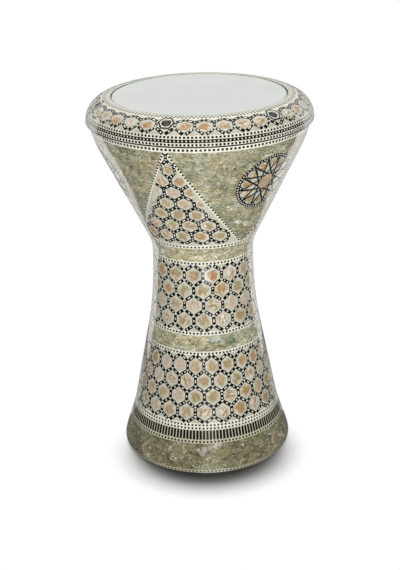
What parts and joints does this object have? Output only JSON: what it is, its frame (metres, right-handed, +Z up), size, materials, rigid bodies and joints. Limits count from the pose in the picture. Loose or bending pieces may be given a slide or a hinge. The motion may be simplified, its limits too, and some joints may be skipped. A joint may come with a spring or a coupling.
{
  "type": "goblet drum",
  "caption": "Goblet drum with a cone-shaped bowl, waisted neck, flared foot, inlaid bands and a tunable head under a wide rounded ring.",
  "frame": {"origin": "centre of the foot's rim, on the surface that the drum stands on", "axes": "+Z up the drum's axis towards the head; -Y faces the picture's camera; +X is to its right"},
  "size_m": [0.2668, 0.2668, 0.448],
  "materials": {
    "cast_aluminium": "as cast, plain",
    "pearl_mosaic": "crushed mother-of-pearl under clear polyester",
    "pearl_honeycomb": "cut mother-of-pearl cells with black and cream borders under clear polyester",
    "dotted_strip": "rows of pale squares between black lines under clear polyester",
    "black_inlay": "black filler under clear polyester",
    "pet_film": "satin, slightly milky",
    "dark_chrome": "dark plated steel"
  },
  "bodies": {
    "drum": {"body_casting": "cast_aluminium", "foot_rim_strip": "dotted_strip", "foot_mosaic": "pearl_mosaic", "key_lower_strip": "dotted_strip", "key_band": "black_inlay", "key_upper_strip": "dotted_strip", "foot_honeycomb": "pearl_honeycomb", "neck_lower_strip": "dotted_strip", "neck_mosaic": "pearl_mosaic", "neck_upper_strip": "dotted_strip", "neck_honeycomb": "pearl_honeycomb", "waist_strip": "dotted_strip", "waist_mosaic": "pearl_mosaic", "bowl_base_strip": "dotted_strip", "bowl_top_strip": "dotted_strip", "bowl_mosaic_1": "pearl_mosaic", "bowl_mosaic_2": "pearl_mosaic", "bowl_mosaic_3": "pearl_mosaic", "triangle_panel_1": "pearl_honeycomb", "triangle_panel_2": "pearl_honeycomb", "triangle_panel_3": "pearl_honeycomb", "rosette_panel_1": "pearl_honeycomb", "rosette_panel_2": "pearl_honeycomb", "rosette_panel_3": "pearl_honeycomb", "drumhead_film": "pet_film"},
    "tension_ring": {"tension_ring": "cast_aluminium", "head_hoop": "cast_aluminium", "ring_lower_strip": "dotted_strip", "ring_black_band": "black_inlay", "ring_outer_strip": "dotted_strip", "ring_honeycomb": "pearl_honeycomb", "ring_inner_strip": "dotted_strip", "bolt_surround_1": "black_inlay", "bolt_surround_2": "black_inlay", "bolt_surround_3": "black_inlay", "bolt_surround_4": "black_inlay", "bolt_surround_5": "black_inlay", "bolt_surround_6": "black_inlay", "bolt_washer_1": "dark_chrome", "bolt_washer_2": "dark_chrome", "bolt_washer_3": "dark_chrome", "bolt_washer_4": "dark_chrome", "bolt_washer_5": "dark_chrome", "bolt_washer_6": "dark_chrome"},
    "tension_bolt_1": {"tension_bolt_1": "dark_chrome"},
    "tension_bolt_2": {"tension_bolt_2": "dark_chrome"},
    "tension_bolt_3": {"tension_bolt_3": "dark_chrome"},
    "tension_bolt_4": {"tension_bolt_4": "dark_chrome"},
    "tension_bolt_5": {"tension_bolt_5": "dark_chrome"},
    "tension_bolt_6": {"tension_bolt_6": "dark_chrome"}
  },
  "joints": [
    {"name": "ring_slide", "type": "slide", "parent": "drum", "child": "tension_ring", "axis": [0, 0, 1], "range_m": [-0.0005, 0.003]},
    {"name": "bolt_1_turn", "type": "hinge", "parent": "tension_ring", "child": "tension_bolt_1", "pos_m": [-0.03648, -0.11432, 0.435], "axis": [0, 0, 1], "range_deg": [-180.5, 1080.5]},
    {"name": "bolt_2_turn", "type": "hinge", "parent": "tension_ring", "child": "tension_bolt_2", "pos_m": [0.08076, -0.08876, 0.435], "axis": [0, 0, 1], "range_deg": [-180.5, 1080.5]},
    {"name": "bolt_3_turn", "type": "hinge", "parent": "tension_ring", "child": "tension_bolt_3", "pos_m": [0.11725, 0.02556, 0.435], "axis": [0, 0, 1], "range_deg": [-180.5, 1080.5]},
    {"name": "bolt_4_turn", "type": "hinge", "parent": "tension_ring", "child": "tension_bolt_4", "pos_m": [0.03648, 0.11432, 0.435], "axis": [0, 0, 1], "range_deg": [-180.5, 1080.5]},
    {"name": "bolt_5_turn", "type": "hinge", "parent": "tension_ring", "child": "tension_bolt_5", "pos_m": [-0.08076, 0.08876, 0.435], "axis": [0, 0, 1], "range_deg": [-180.5, 1080.5]},
    {"name": "bolt_6_turn", "type": "hinge", "parent": "tension_ring", "child": "tension_bolt_6", "pos_m": [-0.11725, -0.02556, 0.435], "axis": [0, 0, 1], "range_deg": [-180.5, 1080.5]}
  ],
  "couplings": [
    {"joint": "bolt_1_turn", "follows": "ring_slide", "rad_per_m": 6283.2},
    {"joint": "bolt_2_turn", "follows": "ring_slide", "rad_per_m": 6283.2},
    {"joint": "bolt_3_turn", "follows": "ring_slide", "rad_per_m": 6283.2},
    {"joint": "bolt_4_turn", "follows": "ring_slide", "rad_per_m": 6283.2},
    {"joint": "bolt_5_turn", "follows": "ring_slide", "rad_per_m": 6283.2},
    {"joint": "bolt_6_turn", "follows": "ring_slide", "rad_per_m": 6283.2}
  ]
}
